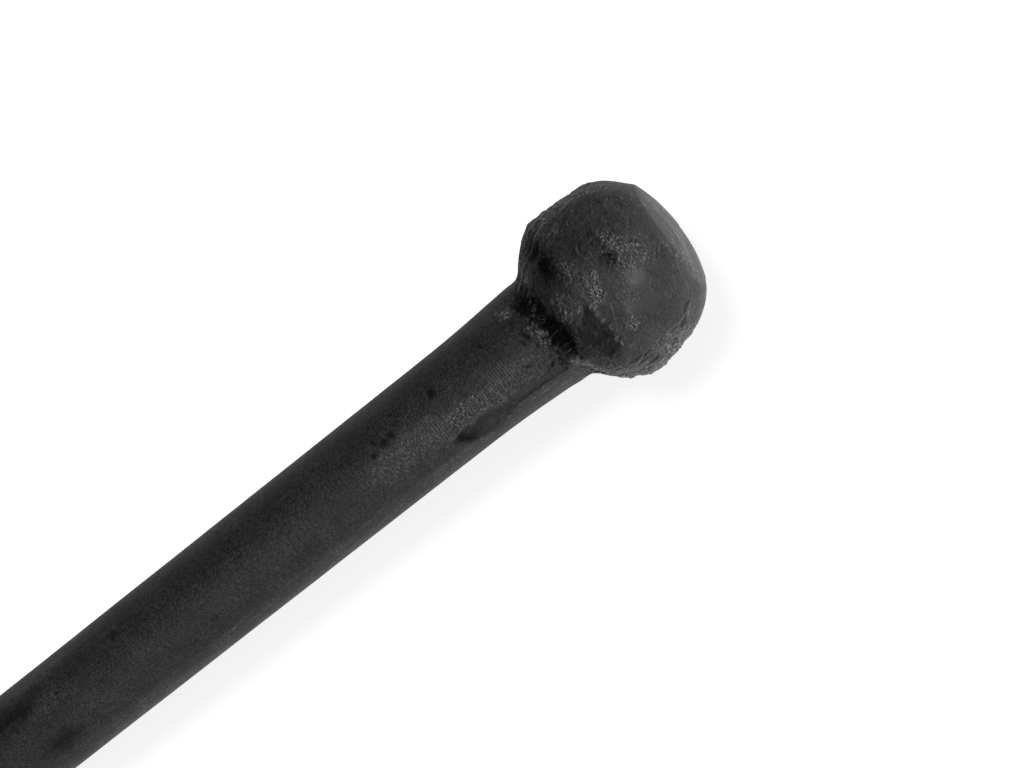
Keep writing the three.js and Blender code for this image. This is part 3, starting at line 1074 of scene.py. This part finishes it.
def make_floor():
    """A white floor, lit mostly from within, so that the bar's shadow on it stays faint."""
    mesh = bpy.data.meshes.new("floor")
    reach = FLOOR_REACH
    corners = [(-reach, -reach, 0), (reach, -reach, 0), (reach, reach, 0), (-reach, reach, 0)]
    mesh.from_pydata(corners, [], [(0, 1, 2, 3)])
    floor = bpy.data.objects.new("floor", mesh)
    scene.collection.objects.link(floor)
    material = bpy.data.materials.new("white_floor")
    material.use_nodes = True
    n = Nodes(material.node_tree)
    seen = n.add("ShaderNodeLightPath").outputs["Is Camera Ray"]
    place = n.add("ShaderNodeNewGeometry").outputs["Position"]
    ahead = n.toward(place, FLOOR_AHEAD)
    on_bar = n.fade(ahead, *FLOOR_GLOW_ON_BAR)
    beside = n.add("ShaderNodeSeparateXYZ", {0: place}).outputs["Y"]
    close = n.times(n.fade(beside, *STRIP_OUTER), n.fade(beside, *STRIP_INNER))
    close = n.times(close, n.fade(ahead, *STRIP_AHEAD))
    on_bar = n.times(on_bar, n.math("MULTIPLY_ADD", close, BESIDE_THE_SHANK, 1.0))
    on_bar = n.times(on_bar, n.fade(beside, 0.0, FAR_SIDE_BY, 1.0, ON_THE_FAR_SIDE))
    glow = n.plus(n.times(seen, n.math("SUBTRACT", FLOOR_GLOW, on_bar)), on_bar)
    surface = n.add("ShaderNodeBsdfPrincipled", {
        "Base Color": (0.14, 0.14, 0.14, 1), "Roughness": 1.0, "Specular IOR Level": 0.0,
        "Emission Color": (1, 1, 1, 1), "Emission Strength": glow,
    })
    n.add("ShaderNodeOutputMaterial", {"Surface": surface.outputs[0]})
    mesh.materials.append(material)
    return floor


def make_lamp(name, lean, ahead, width, energy, lit):
    """A soft lamp, leaning to the camera's side and ahead, that lights these things alone."""
    data = bpy.data.lights.new(name, "SUN")
    data.energy = energy
    data.angle = width
    lamp = bpy.data.objects.new(name, data)
    scene.collection.objects.link(lamp)
    toward = (UP * math.cos(lean) + SIDE * math.sin(lean) + AXIS * ahead).normalized()
    lamp.rotation_mode = "QUATERNION"
    lamp.rotation_quaternion = (-toward).to_track_quat("-Z", "Y")
    receivers = bpy.data.collections.new(name + "_lights")
    for thing in lit:
        receivers.objects.link(thing)
    lamp.light_linking.receiver_collection = receivers


def make_sky():
    """A white surround; what the bar mirrors is soft light overhead and ahead, and a dark far side."""
    world = bpy.data.worlds.new("studio")
    scene.world = world
    world.use_nodes = True
    n = Nodes(world.node_tree)
    toward = n.add("ShaderNodeTexCoord").outputs["Generated"]
    glow = SKY_BASE
    for lean, ahead, low, high, strength in SKY_LIGHTS:
        lean = math.radians(lean)
        centre = (UP * math.cos(lean) + SIDE * math.sin(lean) + AXIS * ahead).normalized()
        facing = n.toward(toward, tuple(centre))
        glow = n.plus(n.fade(facing, low, high, 0.0, strength), glow)
    seen = n.add("ShaderNodeLightPath").outputs["Is Camera Ray"]
    light = n.add("ShaderNodeBackground", {"Color": (1, 1, 1, 1), "Strength": glow})
    plain = n.add("ShaderNodeBackground", {"Color": (1, 1, 1, 1), "Strength": 1.0})
    both = n.add("ShaderNodeMixShader", {0: seen, 1: light.outputs[0], 2: plain.outputs[0]})
    n.add("ShaderNodeOutputWorld", {"Surface": both.outputs[0]})


floor = make_floor()
make_lamp("floor_light", -FLOOR_LIGHT_LEAN, 0, FLOOR_LIGHT_WIDTH, FLOOR_LIGHT_ENERGY, [floor])
make_lamp("softbox", KEY_LEAN, KEY_AHEAD, KEY_WIDTH, KEY_ENERGY, pieces)
make_sky()
scene.view_settings.view_transform = "Standard"
